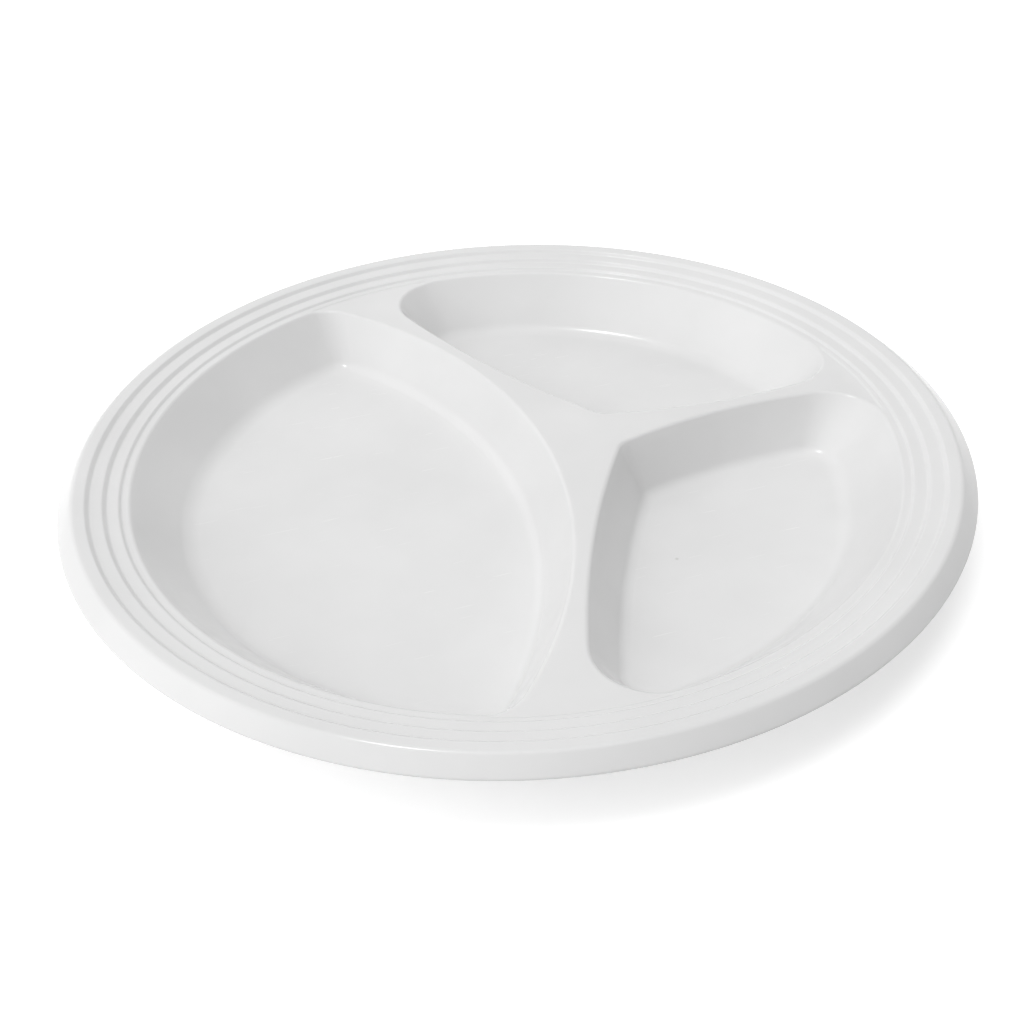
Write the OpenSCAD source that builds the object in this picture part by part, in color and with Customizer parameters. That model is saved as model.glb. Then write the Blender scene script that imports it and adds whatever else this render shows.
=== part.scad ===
// Round serving plate with three wells: a large one, and two small ones that mirror each other.
// It is one thin moulding, and the modules are its zones, which meet face to face:
// the turned-down edge, the stepped rim, the web between the wells, and the three wells.
// X runs along the line of symmetry, from the large well to the small ones.
// The plate stands on z = 0, on the undersides of its well floors.

/* [Plate] */
// Diameter over the turned-down edge
plate_d = 260; // [240:1:300]
// Thickness of the moulded wall
wall_t = 1.2; // [0.8:0.1:1.6]

/* [Rim] */
// Width of the lowest terrace, from the edge of the wells to the first riser
first_terrace_w = 2.5; // [2.2:0.1:4]
// Width of the second terrace, from riser to riser
second_terrace_w = 4.1; // [3:0.1:6]
// Width of the third terrace, from riser to riser
third_terrace_w = 4.5; // [3:0.1:6]
// Width of the top terrace, from the last riser to the start of the turned-down edge
top_terrace_w = 3.35; // [2:0.05:6]
// Height of the small step from the web up to the lowest terrace
web_step_h = 0.4; // [0.2:0.05:0.6]
// Height of the first riser
first_riser_h = 0.7; // [0.6:0.05:1.2]
// Height of the second riser
second_riser_h = 1.05; // [0.6:0.05:2]
// Height of the third riser
third_riser_h = 1.05; // [0.6:0.05:2.2]
// How much the lowest terrace climbs outwards
first_climb_h = 0.1; // [0:0.05:0.2]
// How much the second terrace climbs outwards
second_climb_h = 0.2; // [0:0.05:0.5]
// How much the third terrace climbs outwards
third_climb_h = 0.4; // [0:0.05:0.6]
// How much the top terrace climbs outwards
top_climb_h = 0.35; // [0:0.05:0.6]
// Slope of the risers, in degrees from level
riser_slope = 45; // [40:1:60]
// Rounding at the foot and the head of each riser
riser_round = 0.4; // [0.2:0.05:0.45]
// Width of the turned-down edge
edge_w = 5.25; // [3.5:0.05:8]
// Rounding of the shoulder where the edge turns down
shoulder_round = 2; // [1.8:0.1:3]
// Slope of the turned-down edge, in degrees from level
edge_slope = 40; // [30:1:60]

/* [Wells] */
// Depth of the wells below the web
well_depth = 15.5; // [12:0.1:20]
// Slope of the well walls under the rim, in degrees from level
rim_wall_slope = 48; // [40:0.5:60]
// Slope of the well walls beside the web, in degrees from level
inner_wall_slope = 60; // [50:0.5:65]
// Rounding of the top edges of the wells
lip_round = 1.5; // [1:0.1:2]
// Rounding between the walls under the rim and the floors
rim_floor_round = 7.5; // [5:0.1:10]
// Rounding between the walls beside the web and the floors
inner_floor_round = 4.2; // [3:0.1:8]

/* [Layout] */
// Width of the web between two wells where it is narrowest
divider_w = 4.5; // [3.5:0.1:8]
// How far the large well bulges past the middle of the plate
large_reach = 9.1; // [0:0.1:14]
// Radius of the large well's inner edge
large_edge_r = 147.8; // [125:0.1:190]
// Radius of the large well's two corners, at their top
large_corner_r = 12; // [6:0.1:16]
// Radius of a small well's edge beside the large well
side_edge_r = 322; // [240:1:400]
// Direction of the narrowest web beside the large well, seen from the centre of its inner edge
side_waist_angle = 23.6; // [21:0.1:26]
// Radius of a small well's edge beside the other small well
mid_edge_r = 164.5; // [140:0.5:220]
// Radius of the small wells' corners at the rim, at their top
rim_corner_r = 16.5; // [12:0.1:20]
// Radius of the small wells' corners at the hub, at their top
hub_corner_r = 7; // [5:0.1:9]
// Radius of the large well's corners on the floor
large_foot_r = 3.5; // [3:0.1:8]
// Radius of the small wells' corners on the floor
small_foot_r = 5; // [3:0.1:8]

/* [Hidden] */
// Place of the narrowest web between the small wells, in parts of the wells' outer radius
mid_waist_share = 0.68;
// Most that the way in and a corner's radius take together, in parts of the well's span
room_share = 0.46;
// Flat that is left between the rounding of a well's edge and its seam with the web or the rim
seam_margin = 0.1;
// Width over which the small step up to the lowest terrace fades out along a corner of a well
step_fade_w = 0.8;
// Steps along a small well's rim arc, along its other edges and round a corner
rim_steps = 34;
edge_steps = 16;
corner_steps = 7;
// Steps in the rounding of a well's edge, in its floor rounding, and in the rim's roundings
lip_steps = 3;
fillet_steps = 6;
riser_steps = 3;
shoulder_steps = 6;
edge_lip_steps = 8;
ring_fn = 240;

// Radii of the rim's parts
plate_r = plate_d / 2;
edge_r = plate_r - edge_w;
third_riser_r = edge_r - top_terrace_w;
second_riser_r = third_riser_r - third_terrace_w;
first_riser_r = second_riser_r - second_terrace_w;
well_r = first_riser_r - first_terrace_w;
steepest = max(rim_wall_slope, inner_wall_slope);
seam_out = max(lip_round, wall_t) * tan(steepest / 2) + seam_margin;
seam_r = well_r + seam_out;

// Heights of the rim's parts above the table
web_z = wall_t + well_depth;
first_z = web_z + web_step_h;
second_z = first_z + first_climb_h + first_riser_h;
third_z = second_z + second_climb_h + second_riser_h;
fourth_z = third_z + third_climb_h + third_riser_h;
top_z = fourth_z + top_climb_h;

// Centres of the arcs that make the wells' inner edges
large_centre = [large_reach - large_edge_r, 0];
side_centre = large_centre + (large_edge_r + divider_w + side_edge_r) * heading(side_waist_angle);
mid_centre = [mid_waist_share * well_r, divider_w / 2 + mid_edge_r];

// Spans of the wells, from the rim to their innermost points
large_span = well_r + large_reach;
small_span = well_r - norm(meet(side_centre, side_edge_r, mid_centre, mid_edge_r));

// Corners of the wells: [radius at the top, radius on the floor, most that the way in and the radius take]
large_corner = [large_corner_r, large_foot_r, large_span * room_share];
rim_corner = [rim_corner_r, small_foot_r, small_span * room_share];
hub_corner = [hub_corner_r, small_foot_r, small_span * room_share];

// Walls of the wells: [slope, rounding at the floor]
rim_wall = [rim_wall_slope, rim_floor_round];
inner_wall = [inner_wall_slope, inner_floor_round];
fillet_r = max(rim_floor_round, inner_floor_round);
fillet_z = wall_t + fillet_r;

// Edges of a well, anticlockwise: [centre, radius, corner at its end, steps]
large_edges = [
  [[0, 0], well_r, large_corner, rim_steps * 2],
  [large_centre, large_edge_r, large_corner, edge_steps * 2]
];
small_edges = [
  [[0, 0], well_r, rim_corner, rim_steps],
  [side_centre, side_edge_r, hub_corner, edge_steps],
  [mid_centre, mid_edge_r, rim_corner, edge_steps]
];

function heading(a) = [cos(a), sin(a)];
function bearing(v) = atan2(v[1], v[0]);
function left_of(v) = [-v[1], v[0]];
function turn(a, b) = ((b - a) % 360 + 360) % 360;
function flip(list) = [for (i = [len(list) - 1:-1:0]) list[i]];
function mirrored(list) = [for (p = list) [p[0], -p[1]]];
function arc(c, r, a, b, steps) = [for (i = [0:steps]) c + r * heading(a + (b - a) * i / steps)];
function inner_points(line) = [for (i = [1:len(line) - 2]) line[i]];
function lowered(line, drop) = [for (p = line) [p[0], p[1] - drop]];

// Meeting point of two circles, on the left of the line from the first centre to the second
function meet(c1, r1, c2, r2) =
  let (
    gap = norm(c2 - c1),
    along = (gap * gap + r1 * r1 - r2 * r2) / (2 * gap),
    aside = sqrt(max(0, r1 * r1 - along * along)),
    way = (c2 - c1) / gap
  )
  c1 + along * way + aside * left_of(way);

function index_before(edges, i) = (i + len(edges) - 1) % len(edges);

// How far in a wall w ends on the floor, and how far in its two faces are at height z
function floor_in(w) = well_depth / tan(w[0]) + w[1] * tan(w[0] / 2);
function lip_in(w, z) =
  let (up = z - web_z + lip_round)
  sqrt(max(0, lip_round * lip_round - up * up)) - lip_round * tan(w[0] / 2);
function fillet_in(w, r, z) =
  let (down = wall_t + w[1] - z)
  floor_in(w) - sqrt(max(0, r * r - down * down));
function top_in(w, z) =
  z > web_z - lip_round * (1 - cos(w[0])) ? lip_in(w, z) :
  z < wall_t + w[1] * (1 - cos(w[0])) ? fillet_in(w, w[1], z) :
  (web_z - z) / tan(w[0]);
function under_in(w, z) =
  z < wall_t + w[1] - (w[1] + wall_t) * cos(w[0]) ? fillet_in(w, w[1] + wall_t, z) :
  (web_z - z) / tan(w[0]) - wall_t / sin(w[0]);

// An outline is a level of a well: [insets along the rim and the web, inset of the top face along the web,
// what the underside adds to the corners, height, share of the small step's rise]
function inset_of(level, i) = level[0][i == 0 ? 0 : 1];
function rise_share(z) = max(0, (z - fillet_z) / (web_z - fillet_z));
function seam_level(z) = [[-seam_out, -seam_out], -seam_out, 0, z, 1];
function top_level(z) =
  let (inner = top_in(inner_wall, z))
  [[top_in(rim_wall, z), inner], inner, 0, z, rise_share(z)];
function under_level(z) =
  let (over = top_in(inner_wall, max(z, wall_t)), inner = under_in(inner_wall, z))
  [[under_in(rim_wall, z), inner], over, over - inner, z, rise_share(z + wall_t)];

// Radius of a corner at a level, within the well's room
function corner_radius(corner, level) =
  let (
    over = level[1],
    way = min(1, over / floor_in(inner_wall)),
    radius = over > 0 ? corner[0] + (corner[1] - corner[0]) * way : corner[0] - over
  )
  min(radius + level[2], corner[2] - max(level[0]));

// Centre of the corner at the end of edge i
function corner_centre(edges, i, level) =
  let (
    next_i = (i + 1) % len(edges),
    radius = corner_radius(edges[i][2], level),
    drawn = edges[i][1] - inset_of(level, i) - radius,
    next_drawn = edges[next_i][1] - inset_of(level, next_i) - radius
  )
  meet(edges[i][0], drawn, edges[next_i][0], next_drawn);

// The arc of edge i and the corner at its end
function stretch(edges, i, level) =
  let (
    c = edges[i][0],
    from = corner_centre(edges, index_before(edges, i), level),
    to = corner_centre(edges, i, level),
    a = bearing(from - c),
    b = a + turn(a, bearing(to - c)),
    d = b + turn(b, bearing(to - edges[(i + 1) % len(edges)][0]))
  )
  concat(
    arc(c, edges[i][1] - inset_of(level, i), a, b, edges[i][3]),
    inner_points(arc(to, corner_radius(edges[i][2], level), b, d, corner_steps))
  );

function outline(edges, level) =
  [for (i = [0:len(edges) - 1]) each stretch(edges, i, level)];

// Seam of a well with the rim and the web. It starts with the arc along the rim.
function seam(edges) = outline(edges, seam_level(web_z));
// The part of the seam that borders the web, from rim to rim
function web_border(edges) =
  let (line = seam(edges))
  [for (i = [edges[0][3]:len(line)]) line[i % len(line)]];

// Levels of a well's top face and of its underside
function foot_z(r, i) = fillet_z - r * cos(steepest * i / fillet_steps);
top_levels = concat(
  [seam_level(web_z)],
  [for (i = [0:lip_steps]) top_level(web_z - lip_round * (1 - cos(steepest * i / lip_steps)))],
  [for (i = [fillet_steps:-1:0]) top_level(foot_z(fillet_r, i))]
);
under_levels = concat(
  [for (i = [0:fillet_steps]) under_level(foot_z(fillet_r + wall_t, i))],
  [under_level(web_z - wall_t), seam_level(web_z - wall_t)]
);

// Rise of a seam point to the lowest terrace: all of the step along the rim, none along the web
function rise(p) =
  let (t = min(1, max(0, 1 - (seam_r - norm(p)) / step_fade_w)))
  web_step_h * t * t * (3 - 2 * t);

module well(edges) {
  levels = concat(top_levels, under_levels);
  floor_ring = len(top_levels) - 1;
  border = seam(edges);
  count = len(border);
  points = [for (level = levels)
    let (line = outline(edges, level))
    for (j = [0:count - 1]) [line[j][0], line[j][1], level[3] + level[4] * rise(border[j])]];
  bands = [for (k = [0:len(levels) - 1])
    if (k != floor_ring)
      for (j = [0:count - 1])
        let (
          next_j = (j + 1) % count,
          next_k = (k + 1) % len(levels),
          a = k * count + j,
          b = k * count + next_j,
          c = next_k * count + next_j,
          d = next_k * count + j
        )
        each [[a, c, b], [a, d, c]]];
  floor_top = [for (j = [count - 1:-1:0]) floor_ring * count + j];
  floor_under = [for (j = [0:count - 1]) (floor_ring + 1) * count + j];
  polyhedron(points, concat(bands, [floor_top, floor_under]), convexity = 8);
}

// A rounded bend at q of the line from p by q to s
function bend(p, q, s, r) =
  let (
    u = (q - p) / norm(q - p),
    v = (s - q) / norm(s - q),
    angle = bearing([u * v, left_of(u) * v]),
    side = angle > 0 ? 1 : -1,
    c = q - u * r * tan(abs(angle) / 2) + side * r * left_of(u),
    a = bearing(u) - side * 90
  )
  arc(c, r, a, a + angle, riser_steps);

// Foot and head of a riser
function riser(r, z, h) =
  let (half = h / tan(riser_slope) / 2)
  [[r - half, z], [r + half, z + h]];

rim_corners = concat(
  [[seam_r, first_z]],
  riser(first_riser_r, first_z + first_climb_h, first_riser_h),
  riser(second_riser_r, second_z + second_climb_h, second_riser_h),
  riser(third_riser_r, third_z + third_climb_h, third_riser_h),
  [[edge_r, top_z]]
);
rim_line = concat(
  [rim_corners[0]],
  [for (i = [1:len(rim_corners) - 2])
    each bend(rim_corners[i - 1], rim_corners[i], rim_corners[i + 1], riser_round)],
  [rim_corners[len(rim_corners) - 1]]
);

// The turned-down edge is a shoulder and a straight skirt that ends in a full round lip
lip_r = wall_t / 2;
shoulder_centre = [edge_r, top_z - shoulder_round];
skirt_run = (edge_w - lip_r - (shoulder_round - lip_r) * sin(edge_slope)) / cos(edge_slope);
lip_way = (shoulder_round - lip_r) * heading(90 - edge_slope) + skirt_run * heading(-edge_slope);

module turned_edge() {
  color("whitesmoke")
    rotate_extrude($fn = ring_fn)
      polygon(concat(
        arc(shoulder_centre, shoulder_round, 90, 90 - edge_slope, shoulder_steps),
        arc(shoulder_centre + lip_way, lip_r, 90 - edge_slope, -90 - edge_slope, edge_lip_steps),
        arc(shoulder_centre, shoulder_round - wall_t, 90 - edge_slope, 90, shoulder_steps)
      ));
}

module stepped_rim() {
  color("whitesmoke")
    rotate_extrude($fn = ring_fn)
      polygon(concat(rim_line, flip(lowered(rim_line, wall_t))));
}

// The web fills what the seams of the three wells leave inside the rim
module divider_web() {
  small_border = web_border(small_edges);
  large_border = web_border(large_edges);
  small_start = bearing(small_border[len(small_border) - 1]);
  small_end = bearing(small_border[0]);
  large_start = bearing(large_border[len(large_border) - 1]);
  color("whitesmoke")
    translate([0, 0, web_z - wall_t])
      linear_extrude(wall_t)
        polygon(concat(
          inner_points(arc([0, 0], seam_r, -small_start, small_start, corner_steps)),
          flip(small_border),
          inner_points(arc([0, 0], seam_r, small_end, large_start, corner_steps)),
          flip(large_border),
          inner_points(arc([0, 0], seam_r, -large_start, -small_end, corner_steps)),
          mirrored(small_border)
        ));
}

module large_well() {
  color("whitesmoke") well(large_edges);
}

module left_small_well() {
  color("whitesmoke") well(small_edges);
}

module right_small_well() {
  color("whitesmoke") mirror([0, 1, 0]) well(small_edges);
}

turned_edge();
stepped_rim();
divider_web();
large_well();
left_small_well();
right_small_well();
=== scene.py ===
import math

import bpy
from mathutils import Matrix, Vector
from mathutils.geometry import delaunay_2d_cdt


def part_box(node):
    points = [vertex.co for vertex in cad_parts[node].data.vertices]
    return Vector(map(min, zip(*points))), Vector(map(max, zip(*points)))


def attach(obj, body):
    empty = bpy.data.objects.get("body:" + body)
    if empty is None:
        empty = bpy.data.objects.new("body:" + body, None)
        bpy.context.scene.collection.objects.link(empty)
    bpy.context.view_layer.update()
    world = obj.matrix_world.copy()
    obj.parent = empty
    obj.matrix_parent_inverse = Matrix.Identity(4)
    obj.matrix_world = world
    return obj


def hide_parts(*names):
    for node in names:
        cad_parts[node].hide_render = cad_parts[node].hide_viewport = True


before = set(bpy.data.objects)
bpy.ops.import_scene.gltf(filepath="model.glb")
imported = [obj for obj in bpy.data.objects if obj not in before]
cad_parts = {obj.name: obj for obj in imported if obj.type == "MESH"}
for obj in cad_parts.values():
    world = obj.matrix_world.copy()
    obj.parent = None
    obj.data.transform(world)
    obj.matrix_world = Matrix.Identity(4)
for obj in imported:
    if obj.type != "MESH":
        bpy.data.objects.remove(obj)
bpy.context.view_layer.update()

mm = 0.001  # the plate is drawn in millimetres and made in metres

# Sizes that come from the frame, in millimetres
edgeLow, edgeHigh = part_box("turned_edge")
plateR = min(edgeHigh.x, edgeHigh.y, -edgeLow.x, -edgeLow.y) / mm
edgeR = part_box("stepped_rim")[1].x / mm  # where the edge starts to turn down
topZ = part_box("stepped_rim")[1].z / mm
webLow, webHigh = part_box("divider_web")
webZ = webHigh.z / mm
wallT = (webHigh.z - webLow.z) / mm

# The rim: four terraces, the risers between them, and the edge that turns down to a round lip
rim = {
    "risers": [(112.8, 0.7), (116.9, 1.05), (121.4, 1.05)],  # radius and height of each
    "climbs": [0.1, 0.2, 0.4],  # how much the terrace before each riser climbs outwards
    "riserSlope": 45,  # degrees from level
    "riserRound": 0.85,
    "webStep": 0.4,  # from the web up to the lowest terrace
    "shoulderRound": 2,
    "edgeSlope": 40,  # degrees from level
    "bendSteps": 6,
    "shoulderSteps": 12,
    "lipSteps": 10,
    "support": 0.12,  # a ring this far from each bend keeps its shading off the terraces
}

# The wells: what they share, and the arcs that bound them
wells = {
    "rimR": 110.3,
    "walls": [(48, 7.5), (60, 4.2)],  # slope in degrees and floor rounding, at the rim and beside the web
    "lipRound": 1.5,
    "seamMargin": 0.1,
    "divider": 4.5,  # width of the web where it is narrowest
    "largeReach": 9.1,  # how far the large well bulges past the middle
    "largeEdgeR": 147.8,
    "largeCorner": (12, 3.5),  # radius at the lip and at the floor
    "sideEdgeR": 322,
    "sideAngle": 23.6,  # degrees
    "midEdgeR": 164.5,
    "midShare": 0.68,
    "rimCorner": (16.5, 5),
    "hubCorner": (7, 5),
    "rimSteps": 72,
    "innerSteps": 40,
    "cornerSteps": 18,
    "lipSteps": 7,
    "wallSteps": 4,
    "filletSteps": 14,
    "stepFade": 0.8,  # width over which the small step up to the rim rises
    "fadeSteps": 4,
    "gapSpacing": 1.6,  # between points of the seam circle where it passes the web
    "gapSteps": 4,  # at least this many there
    "floorGrid": 5,
    "gridClear": 0.55,  # share of the grid's pitch that stays free round other points
    "mergeWithin": 1e-5,
}


def heading(angle):
    return Vector((math.cos(angle), math.sin(angle)))


def bearing(v):
    return math.atan2(v.y, v.x)


def turn(a, b):
    return (b - a) % math.tau


def spread(a, b, steps):
    return [a + (b - a) * i / steps for i in range(steps + 1)]


def arcPoints(centre, radius, angles):
    return [centre + radius * heading(a) for a in angles]


# The meeting point of two circles that lies left of the line from the first centre to the second
def circleMeeting(c1, r1, c2, r2):
    gap = (c2 - c1).length
    way = (c2 - c1) / gap
    along = (gap * gap + r1 * r1 - r2 * r2) / (2 * gap)
    aside = math.sqrt(max(0, r1 * r1 - along * along))
    return c1 + along * way + aside * Vector((-way.y, way.x))


walls = [(math.radians(slope), fillet) for slope, fillet in wells["walls"]]
webWall = walls[1]
steepest = max(slope for slope, _ in walls)
widest = max(fillet for _, fillet in walls)
seamOut = wells["lipRound"] * math.tan(steepest / 2) + wells["seamMargin"]
seamR = wells["rimR"] + seamOut
filletZ = wallT + widest
fadeRadii = spread(seamR, seamR - wells["stepFade"], wells["fadeSteps"])


# Height of the small step at this distance from the middle
def stepRise(radius):
    t = min(1, max(0, 1 - (seamR - radius) / wells["stepFade"]))
    return rim["webStep"] * t * t * (3 - 2 * t)


# The arcs round a well, anticlockwise from the rim: centre, radius, radius of the corner at the end, steps
def largeEdges():
    w = wells
    inner = Vector((w["largeReach"] - w["largeEdgeR"], 0))
    return [
        (Vector((0, 0)), w["rimR"], w["largeCorner"], w["rimSteps"] * 2),
        (inner, w["largeEdgeR"], w["largeCorner"], w["innerSteps"] * 2),
    ]


def smallEdges():
    w = wells
    inner = Vector((w["largeReach"] - w["largeEdgeR"], 0))
    toSide = w["largeEdgeR"] + w["divider"] + w["sideEdgeR"]
    side = inner + toSide * heading(math.radians(w["sideAngle"]))
    mid = Vector((w["midShare"] * w["rimR"], w["divider"] / 2 + w["midEdgeR"]))
    return [
        (Vector((0, 0)), w["rimR"], w["rimCorner"], w["rimSteps"]),
        (side, w["sideEdgeR"], w["hubCorner"], w["innerSteps"]),
        (mid, w["midEdgeR"], w["rimCorner"], w["innerSteps"]),
    ]


# Where a wall ends on the floor, measured inwards from its well's edge
def floorIn(wall):
    slope, fillet = wall
    return (webZ - wallT) / math.tan(slope) + fillet * math.tan(slope / 2)


# A corner's radius where the top face is this far in, with what the underside adds
def cornerRadius(corner, over, extra):
    lip, floor = corner
    if over <= 0:
        return extra + (lip - over)
    return extra + (lip + (floor - lip) * min(1, over / floorIn(webWall)))


# An outline is drawn in by one inset at the rim and by another along the web
def insetOf(insets, i):
    return insets[1 if i else 0]


def cornerCentre(edges, i, insets, over, extra):
    j = (i + 1) % len(edges)
    centre, radius, corner, _ = edges[i]
    nextCentre, nextRadius, _, _ = edges[j]
    rounded = cornerRadius(corner, over, extra)
    drawn, nextDrawn = (insetOf(insets, k) + rounded for k in (i, j))
    return circleMeeting(centre, radius - drawn, nextCentre, nextRadius - nextDrawn)


# Where the points of a corner lie along it. Beside the rim they fall on the rings of the small step.
def cornerShares(edges, i, sweep):
    count = wells["cornerSteps"]
    if 0 < i < len(edges) - 1:
        return spread(0, 1, count)[1:-1]
    radius = edges[i][2][0] + seamOut
    away = cornerCentre(edges, i, (-seamOut, -seamOut), -seamOut, 0).length
    shares = [
        math.acos((r * r - away * away - radius * radius) / (2 * away * radius)) / sweep
        for r in fadeRadii[1:]
    ]
    shares += spread(shares[-1], 1, count - len(shares))[1:-1]
    return shares if i == 0 else [1 - s for s in reversed(shares)]


def outline(edges, insets, over, extra):
    points = []
    for i, (centre, radius, corner, steps) in enumerate(edges):
        start = cornerCentre(edges, (i - 1) % len(edges), insets, over, extra)
        end = cornerCentre(edges, i, insets, over, extra)
        a = bearing(start - centre)
        b = a + turn(a, bearing(end - centre))
        c = b + turn(b, bearing(end - edges[(i + 1) % len(edges)][0]))
        points += arcPoints(centre, radius - insetOf(insets, i), spread(a, b, steps))
        angles = [b + (c - b) * s for s in cornerShares(edges, i, c - b)]
        points += arcPoints(end, cornerRadius(corner, over, extra), angles)
    return points


# How far in a wall is at height z. Depth is 0 for its top face and wallT for its underside.
def wayIn(wall, z, depth):
    slope, fillet = wall
    lip, lipZ = wells["lipRound"] - depth, webZ - wells["lipRound"]
    bend, bendZ = fillet + depth, wallT + fillet
    if z > lipZ + lip * math.cos(slope):
        return math.sqrt(max(0, lip * lip - (z - lipZ) ** 2)) - wells["lipRound"] * math.tan(slope / 2)
    if z < bendZ - bend * math.cos(slope):
        return floorIn(wall) - math.sqrt(max(0, bend * bend - (bendZ - z) ** 2))
    return (webZ - z) / math.tan(slope) - depth / math.sin(slope)


# Heights of a wall's rings on one face, from the lip down to the floor
def wallHeights(depth):
    lip, fillet = wells["lipRound"] - depth, widest + depth
    bend = [webZ - wells["lipRound"] + lip * math.cos(a) for a in spread(0, steepest, wells["lipSteps"])]
    foot = [filletZ - fillet * math.cos(a) for a in spread(steepest, 0, wells["filletSteps"])]
    return bend + spread(bend[-1], foot[0], wells["wallSteps"])[1:-1] + foot


# A well of the plate, with its rings of points on the top face and on the underside
class Well:
    def __init__(self, edges, mirrored=False):
        self.edges = edges
        self.mirrored = mirrored
        self.rimCount = edges[0][3]
        border = self.ring((-seamOut, -seamOut), -seamOut, 0)
        rises = [stepRise(p.length) for p in border]
        self.top, self.under = self.face(border, rises, 0), self.face(border, rises, wallT)

    # Rings of one face, from the seam to just inside the floor
    def face(self, border, rises, depth):
        rings = [[(p.x, p.y, webZ - depth + r) for p, r in zip(border, rises)]]
        for z in wallHeights(depth):
            over = wayIn(webWall, max(z, wallT), 0)
            insets = [wayIn(wall, z, depth) for wall in walls]
            line = self.ring(insets, over, over - insets[1])
            lift = max(0, (z + depth - filletZ) / (webZ - filletZ))
            rings.append([(p.x, p.y, z + lift * r) for p, r in zip(line, rises)])
        line = self.ring([inset + wallT for inset in insets], over, 0)
        rings.append([(p.x, p.y, wallT - depth) for p in line])
        return rings

    def ring(self, insets, over, extra):
        points = outline(self.edges, insets, over, extra)
        if not self.mirrored:
            return points
        n = len(points)
        turned = [points[(self.rimCount - j) % n] for j in range(n)]
        return [Vector((p.x, -p.y)) for p in turned]


# A rounded bend at q on the way from p to s, with a support point before and after it
def bendPoints(p, q, s, radius, steps):
    u, v = (q - p).normalized(), (s - q).normalized()
    angle = math.atan2(u.x * v.y - u.y * v.x, u.dot(v))
    side = 1 if angle > 0 else -1
    back = radius * math.tan(abs(angle) / 2)
    centre = q - u * back + side * radius * Vector((-u.y, u.x))
    start = bearing(u) - side * math.pi / 2
    bend = arcPoints(centre, radius, spread(start, start + angle, steps))
    return [q - u * (back + rim["support"])] + bend + [q + v * (back + rim["support"])]


# Section through the rim from its seam out to the lip and back below: points of radius and height
def rimSection():
    z = webZ + rim["webStep"]
    corners = [Vector((seamR, z))]
    for (radius, height), climb in zip(rim["risers"], rim["climbs"]):
        half = height / math.tan(math.radians(rim["riserSlope"])) / 2
        corners += [Vector((radius - half, z + climb)), Vector((radius + half, z + climb + height))]
        z += climb + height
    slope, bend, lipR = math.radians(rim["edgeSlope"]), rim["shoulderRound"], wallT / 2
    square = math.pi / 2
    outwards = heading(square - slope)
    centre = Vector((edgeR, topZ - bend))
    run = (plateR - lipR - edgeR - (bend - lipR) * math.sin(slope)) / math.cos(slope)
    lipCentre = centre + (bend - lipR) * outwards + run * heading(-slope)
    shoulder = Vector((edgeR + bend * math.tan(slope / 2), topZ))
    skirtEnd = lipCentre + lipR * outwards
    corners.append(shoulder)
    terraces = [corners[0]]
    for p, q, s in zip(corners, corners[1:], corners[2:]):
        terraces += bendPoints(p, q, s, rim["riserRound"], rim["bendSteps"])
    over = bendPoints(corners[-2], shoulder, skirtEnd, bend, rim["shoulderSteps"])
    lip = arcPoints(lipCentre, lipR, spread(square - slope, -square - slope, rim["lipSteps"]))
    back = arcPoints(centre, bend - wallT, spread(square - slope, square, rim["bendSteps"]))
    below = [Vector((p.x, p.y - wallT)) for p in reversed(terraces)]
    return terraces + over + lip + back + below


# The plate as one closed mesh. Neighbouring zones share the points of their seams.
class PlateMesh:
    def __init__(self):
        self.points = []
        self.faces = []

    def addPoints(self, coords):
        first = len(self.points)
        self.points += [tuple(c) for c in coords]
        return list(range(first, len(self.points)))

    # Quads between two closed rings of the same count
    def bridge(self, outer, inner):
        n = len(outer)
        for j in range(n):
            k = (j + 1) % n
            self.faces.append((outer[j], outer[k], inner[k], inner[j]))

    # Triangles inside a loop, with rows of points kept as edges and a loose grid between
    def fill(self, loop, rows, heightAt, facingUp):
        flat = [Vector(self.points[i][:2]) for i in loop]
        index = list(loop)
        edges = []
        for startId, endId, middle in rows:
            first = len(flat)
            flat += middle
            index += self.addPoints([(p.x, p.y, heightAt(p)) for p in middle])
            chain = [loop.index(startId)] + list(range(first, len(flat))) + [loop.index(endId)]
            edges += list(zip(chain, chain[1:]))
        inner = gridInside(flat, flat[: len(loop)], wells["floorGrid"])
        flat += inner
        index += self.addPoints([(p.x, p.y, heightAt(p)) for p in inner])
        made = delaunay_2d_cdt(flat, edges, [list(range(len(loop)))], 1, wells["mergeWithin"])
        kept = [ids[0] for ids in made[3]]
        for tri in made[2]:
            face = [index[kept[i]] for i in tri]
            self.faces.append(tuple(face if facingUp else reversed(face)))

    def makeObject(self, name):
        mesh = bpy.data.meshes.new(name)
        mesh.from_pydata([Vector(p) * mm for p in self.points], [], self.faces)
        mesh.validate()
        mesh.shade_smooth()
        obj = bpy.data.objects.new(name, mesh)
        bpy.context.scene.collection.objects.link(obj)
        return obj


# Points of a triangular grid that lie inside the loop, clear of the points already there
def gridInside(taken, loop, pitch):
    xs, ys = [p.x for p in loop], [p.y for p in loop]
    row = pitch * math.sin(math.pi / 3)
    found = []
    for i in range(int((max(ys) - min(ys)) / row)):
        y = min(ys) + (i + 0.5) * row
        for j in range(int((max(xs) - min(xs)) / pitch) + 1):
            p = Vector((min(xs) + (j + 0.5 * (i % 2)) * pitch, y))
            clear = min((p - q).length_squared for q in taken) > (wells["gridClear"] * pitch) ** 2
            if clear and insideLoop(p, loop):
                found.append(p)
    return found


def insideLoop(p, loop):
    inside = False
    for a, b in zip(loop, loop[1:] + loop[:1]):
        if (a.y > p.y) != (b.y > p.y) and p.x < a.x + (b.x - a.x) * (p.y - a.y) / (b.y - a.y):
            inside = not inside
    return inside


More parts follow.
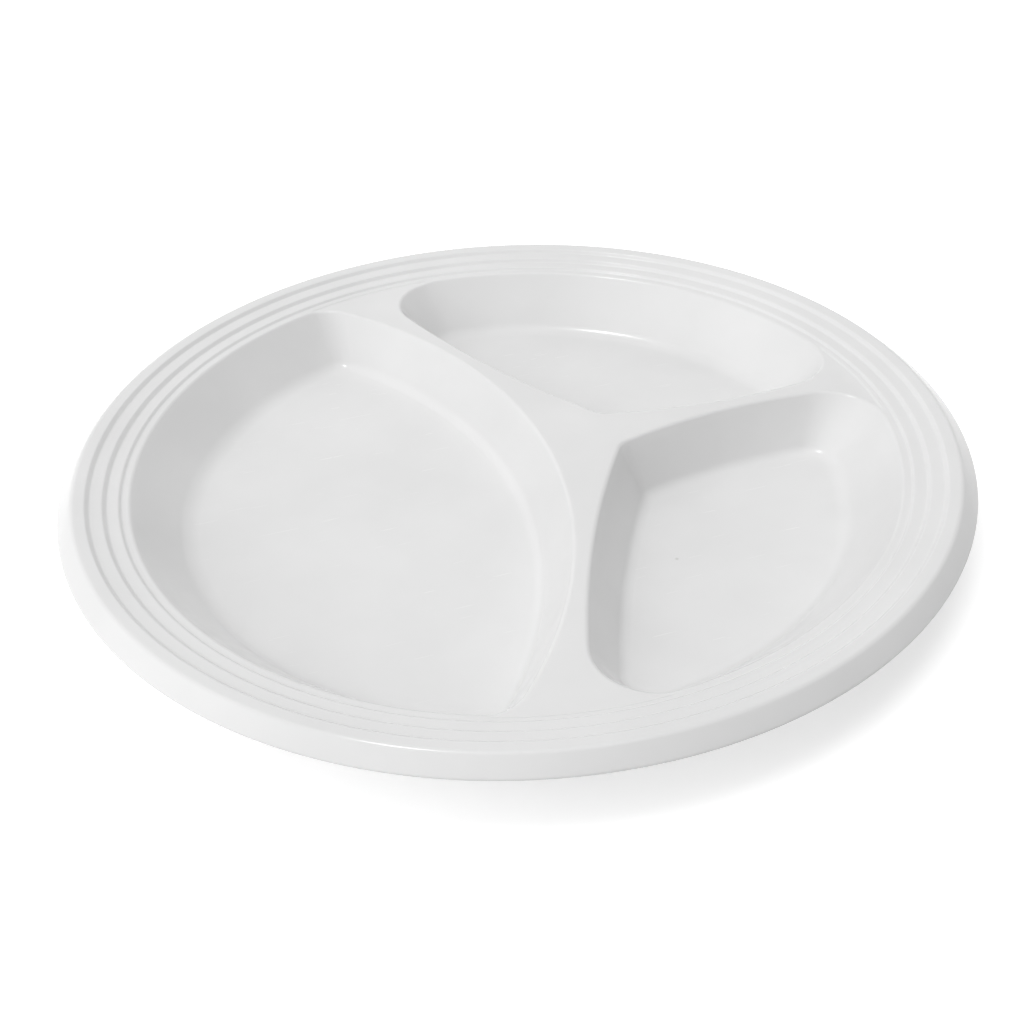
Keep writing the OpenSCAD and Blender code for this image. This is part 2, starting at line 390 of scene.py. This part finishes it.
# Rows of points across the web along the small step, where the seam circle passes from one well to the next.
# Each has its two ends, which are points of the wells, and the points between them.
def gapRows(shell, here, there, rimEnd):
    rows = []
    for k, radius in enumerate(fadeRadii):
        a, b = here[rimEnd + k], there[-k % len(there)]
        start = bearing(Vector(shell.points[a][:2]))
        end = start + turn(start, bearing(Vector(shell.points[b][:2])))
        steps = max(wells["gapSteps"], round((end - start) * seamR / wells["gapSpacing"]))
        rows.append((a, b, arcPoints(Vector((0, 0)), radius, spread(start, end, steps)[1:-1])))
    return rows


# One face of the wells and the web. Returns the points of its seam circle.
def buildFace(shell, allWells, topFace):
    seams = []
    for well in allWells:
        rings = [shell.addPoints(ring) for ring in (well.top if topFace else well.under)]
        for outer, inner in zip(rings, rings[1:]):
            if topFace:
                shell.bridge(outer, inner)
            else:
                shell.bridge(inner, outer)
        floorZ = wallT if topFace else 0
        shell.fill(rings[-1], [], lambda p: floorZ, topFace)
        seams.append(rings[0])
    # The seam circle, and the web's border, which runs back round each well
    drop = 0 if topFace else wallT
    circle, border, rows = [], [], []
    for i, well in enumerate(allWells):
        j = (i + 1) % len(allWells)
        here, there = seams[i], seams[j]
        between = gapRows(shell, here, there, well.rimCount)
        height = webZ + rim["webStep"] - drop
        gap = shell.addPoints([(p.x, p.y, height) for p in between[0][2]])
        circle += here[: well.rimCount + 1] + gap
        rows += between[1:]
        back = len(there) - allWells[j].rimCount + 1
        border += gap + [there[-k % len(there)] for k in range(back)]
    shell.fill(border, rows, lambda p: webZ + stepRise(p.length) - drop, topFace)
    return circle


def buildPlate():
    shell = PlateMesh()
    allWells = [Well(smallEdges()), Well(largeEdges()), Well(smallEdges(), mirrored=True)]
    topCircle, underCircle = (buildFace(shell, allWells, topFace) for topFace in (True, False))
    # The rim runs from the top seam out to the lip and back to the seam below
    angles = [bearing(Vector(shell.points[i][:2])) for i in topCircle]
    rings = [topCircle]
    for p in rimSection()[1:-1]:
        rings.append(shell.addPoints([(p.x * math.cos(a), p.x * math.sin(a), p.y) for a in angles]))
    rings.append(underCircle)
    for inner, outer in zip(rings, rings[1:]):
        shell.bridge(outer, inner)
    return shell.makeObject("plate_moulding")


plate = buildPlate()
print("plate:", len(plate.data.vertices), "points,", len(plate.data.polygons), "faces")


def srgb(hexColour):
    channels = [int(hexColour[i : i + 2], 16) / 255 for i in (1, 3, 5)]
    return [c / 12.92 if c <= 0.04045 else ((c + 0.055) / 1.055) ** 2.4 for c in channels] + [1]


def addNode(tree, kind, settings=None, links=None):
    node = tree.nodes.new(kind)
    for key, value in (settings or {}).items():
        if isinstance(key, str) and hasattr(node, key):
            setattr(node, key, value)
        else:
            node.inputs[key].default_value = value
    for key, source in (links or {}).items():
        tree.links.new(source, node.inputs[key])
    return node


# White satin plastic, injection moulded. The mould gives a satin gloss with a fine grain, and the sink of
# the wall broad clouds. Use has rubbed it duller in patches and left fine cutlery scratches on the floors.
# Sizes are in millimetres. A pattern has its size and detail, a band the values between which it comes in.
satin = {
    "colour": "#E5E5E5",
    "cloudColour": "#E1E1E1",
    "clouds": (35, 3),
    "cloudBand": (0.35, 0.65),
    "ior": 1.49,
    "roughness": 0.17,
    "rubbedRoughness": 0.24,
    "rubs": (9, 4),
    "rubBand": (0.45, 0.75),
    "grain": (1.1, 2),  # the mould's grain is near 0.1, too fine for a picture, so it is drawn coarser
    "grainDepth": 0.006,
    "waves": (24, 1),
    "waveDepth": 0.05,
    "scratchLength": 16,
    "scratchWidth": 0.5,
    "scratchTurn": 35,  # degrees
    "scratchBand": (0.68, 0.74),
    "scratchRoughness": 0.1,
    "scratchRise": 0.6,  # the scratches are gone this high above the floors
    "speckAt": (31.9, -46.7),  # a speck of dirt in the plastic
    "speckSize": 1,
    "speckBand": (0.4, 1.4),  # as shares of its radius
    "speckColour": "#D0D0CE",
}


def satinPlastic():
    material = bpy.data.materials.new("injection_moulded_satin_plastic")
    material.use_nodes = True
    tree = material.node_tree
    tree.nodes.clear()
    place = addNode(tree, "ShaderNodeTexCoord").outputs["Object"]

    # A soft pattern whose patches are about this size
    def noise(size, detail):
        settings = {"Scale": 1 / (size * mm), "Detail": detail}
        return addNode(tree, "ShaderNodeTexNoise", settings, {"Vector": place}).outputs["Fac"]

    def remap(value, band, toLow, toHigh):
        settings = {"From Min": band[0], "From Max": band[1], "To Min": toLow, "To Max": toHigh}
        return addNode(tree, "ShaderNodeMapRange", settings, {"Value": value}).outputs["Result"]

    def blend(share, colour, other):
        node = addNode(tree, "ShaderNodeMixRGB", {"Color2": srgb(satin[other])}, {"Fac": share})
        if isinstance(colour, str):
            node.inputs["Color1"].default_value = srgb(satin[colour])
        else:
            tree.links.new(colour, node.inputs["Color1"])
        return node.outputs["Color"]

    # Colour: clouds, and the speck
    clouds = remap(noise(*satin["clouds"]), satin["cloudBand"], 0, 1)
    x, y = satin["speckAt"]
    speckPlace = (x * mm, y * mm, wallT * mm)
    away = addNode(tree, "ShaderNodeVectorMath", {"operation": "DISTANCE", 1: speckPlace}, {0: place})
    radius = satin["speckSize"] * mm / 2
    speck = remap(away.outputs["Value"], [radius * share for share in satin["speckBand"]], 1, 0)
    colour = blend(speck, blend(clouds, "colour", "cloudColour"), "speckColour")

    # Roughness: rubbed patches, and scratches on the floors of the wells
    rubbed = remap(noise(*satin["rubs"]), satin["rubBand"], satin["roughness"], satin["rubbedRoughness"])
    stretch = (1 / (satin["scratchLength"] * mm), 1 / (satin["scratchWidth"] * mm), 1)
    turned = (0, 0, math.radians(satin["scratchTurn"]))
    along = addNode(tree, "ShaderNodeMapping", {"Rotation": turned, "Scale": stretch}, {"Vector": place})
    streaks = addNode(tree, "ShaderNodeTexNoise", {"Scale": 1, "Detail": 1}, {"Vector": along.outputs[0]})
    scratches = remap(streaks.outputs["Fac"], satin["scratchBand"], 0, satin["scratchRoughness"])
    height = addNode(tree, "ShaderNodeSeparateXYZ", links={"Vector": place}).outputs["Z"]
    onFloor = remap(height, (wallT * mm, (wallT + satin["scratchRise"]) * mm), 1, 0)
    scratched = addNode(tree, "ShaderNodeMath", {"operation": "MULTIPLY_ADD"}, {
        0: scratches, 1: onFloor, 2: rubbed,
    })

    # Bumps: the sink's waves, with the grain on them
    waves = addNode(tree, "ShaderNodeBump", {"Distance": satin["waveDepth"] * mm}, {
        "Height": noise(*satin["waves"]),
    })
    grain = addNode(tree, "ShaderNodeBump", {"Distance": satin["grainDepth"] * mm}, {
        "Height": noise(*satin["grain"]), "Normal": waves.outputs["Normal"],
    })
    shader = addNode(tree, "ShaderNodeBsdfPrincipled", {"IOR": satin["ior"]}, {
        "Base Color": colour, "Roughness": scratched.outputs[0], "Normal": grain.outputs["Normal"],
    })
    addNode(tree, "ShaderNodeOutputMaterial", links={"Surface": shader.outputs["BSDF"]})
    return material


plate.data.materials.append(satinPlastic())
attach(plate, "root")
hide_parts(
    "turned_edge", "stepped_rim", "divider_web", "large_well", "left_small_well", "right_small_well"
)
print("plate is dressed")

# The room: a white floor, a wide soft key from the left, an even sky and three lesser lamps. Sizes in metres.
room = {
    "floorSize": 6.0,
    "floorColour": "#F2F2F2",
    "floorGlow": 0.5,
    "sky": 0.22,
    # azimuth from straight ahead of the camera towards its right, elevation, distance, size and watts
    "lamps": {
        "key": (-120, 32, 1.5, 2.0, 16.6),
        "overhead": (0, 88, 1.5, 1.0, 7.8),
        "small lamp": (-80, 76, 1.5, 0.12, 2.6),
        "fill": (40, 25, 1.5, 0.7, 2.8),
    },
}


# 1 where a ray is of one of these kinds, and 0 elsewhere
def rayIs(tree, *kinds):
    path = addNode(tree, "ShaderNodeLightPath")
    seen = path.outputs[kinds[0]]
    for kind in kinds[1:]:
        links = {0: seen, 1: path.outputs[kind]}
        seen = addNode(tree, "ShaderNodeMath", {"operation": "MAXIMUM"}, links).outputs[0]
    return seen


def makeFloor():
    half = room["floorSize"] / 2
    corners = [(-half, -half, 0), (half, -half, 0), (half, half, 0), (-half, half, 0)]
    mesh = bpy.data.meshes.new("floor")
    mesh.from_pydata(corners, [], [(0, 1, 2, 3)])
    floor = bpy.data.objects.new("floor", mesh)
    bpy.context.scene.collection.objects.link(floor)
    material = bpy.data.materials.new("white_paper_sweep")
    material.use_nodes = True
    tree = material.node_tree
    tree.nodes.clear()
    paper = addNode(tree, "ShaderNodeBsdfDiffuse", {"Color": srgb(room["floorColour"])})
    seen = rayIs(tree, "Is Camera Ray", "Is Glossy Ray", "Is Transmission Ray")
    settings = {"operation": "MULTIPLY", 1: room["floorGlow"]}
    strength = addNode(tree, "ShaderNodeMath", settings, {0: seen})
    glow = addNode(tree, "ShaderNodeEmission", links={"Strength": strength.outputs[0]})
    both = addNode(tree, "ShaderNodeAddShader", links={0: paper.outputs[0], 1: glow.outputs[0]})
    # From below the floor is clear, so that the underside shows
    clear = addNode(tree, "ShaderNodeBsdfTransparent")
    behind = addNode(tree, "ShaderNodeNewGeometry").outputs["Backfacing"]
    sheet = addNode(tree, "ShaderNodeMixShader", links={0: behind, 1: both.outputs[0], 2: clear.outputs[0]})
    addNode(tree, "ShaderNodeOutputMaterial", links={"Surface": sheet.outputs[0]})
    mesh.materials.append(material)


def makeLights():
    world = bpy.data.worlds.new("soft sky")
    bpy.context.scene.world = world
    world.use_nodes = True
    tree = world.node_tree
    tree.nodes.clear()
    seen = rayIs(tree, "Is Camera Ray", "Is Glossy Ray")
    strength = addNode(tree, "ShaderNodeMath", {"operation": "MAXIMUM", 1: room["sky"]}, {0: seen})
    sky = addNode(tree, "ShaderNodeBackground", {"Color": (1, 1, 1, 1)}, {"Strength": strength.outputs[0]})
    addNode(tree, "ShaderNodeOutputWorld", links={"Surface": sky.outputs[0]})
    for name, (azimuth, elevation, distance, size, power) in room["lamps"].items():
        a, e = math.radians(azimuth + shot["plateTurn"]), math.radians(elevation)
        towards = Vector((math.sin(a) * math.cos(e), math.cos(a) * math.cos(e), math.sin(e)))
        light = bpy.data.lights.new(name, "AREA")
        light.shape = "DISK"
        light.size = size
        light.energy = power
        lamp = bpy.data.objects.new(name, light)
        lamp.location = towards * distance
        lamp.rotation_mode = "QUATERNION"
        lamp.rotation_quaternion = towards.to_track_quat("Z", "Y")
        lamp.visible_glossy = name == "small lamp"  # the wide ones would draw bands along the roundings
        bpy.context.scene.collection.objects.link(lamp)


# The photograph's view. Pan and tilt are from the line of sight to the middle of the web's plane. Lengths are
# in millimetres and angles in degrees.
shot = {
    "distance": 407.8,
    "nearest": 10,
    "elevation": 33.80,
    "plateTurn": 16.57,  # how far the plate is turned anticlockwise, seen from above
    "pan": -0.25,
    "tilt": 2.65,
    "roll": -2.41,
    "lens": 49.08,
    "sensor": 36,
}


def makeCamera():
    e, tilt, pan, roll = (math.radians(shot[k]) for k in ("elevation", "tilt", "pan", "roll"))
    place = Vector((0, -shot["distance"] * math.cos(e), shot["distance"] * math.sin(e)))
    level, down = math.cos(e + tilt), math.sin(e + tilt)
    ahead = Vector((math.sin(pan) * level, math.cos(pan) * level, -down))
    right = ahead.cross(Vector((0, 0, 1))).normalized()
    up = right.cross(ahead)
    rolledRight = math.cos(roll) * right + math.sin(roll) * up
    rolledUp = math.cos(roll) * up - math.sin(roll) * right
    turned = Matrix.Rotation(-math.radians(shot["plateTurn"]), 4, "Z")
    axes = Matrix((rolledRight, rolledUp, -ahead)).transposed().to_4x4()
    data = bpy.data.cameras.new("camera")
    data.lens = shot["lens"]
    data.sensor_width = shot["sensor"]
    data.clip_start = shot["nearest"] * mm
    camera = bpy.data.objects.new("camera", data)
    lift = Matrix.Translation((0, 0, webZ * mm))
    camera.matrix_world = lift @ turned @ Matrix.Translation(place * mm) @ axes
    bpy.context.scene.collection.objects.link(camera)
    bpy.context.scene.camera = camera


makeFloor()
makeLights()
makeCamera()
bpy.context.scene.view_settings.view_transform = "Standard"
print("floor, lights and camera are set")
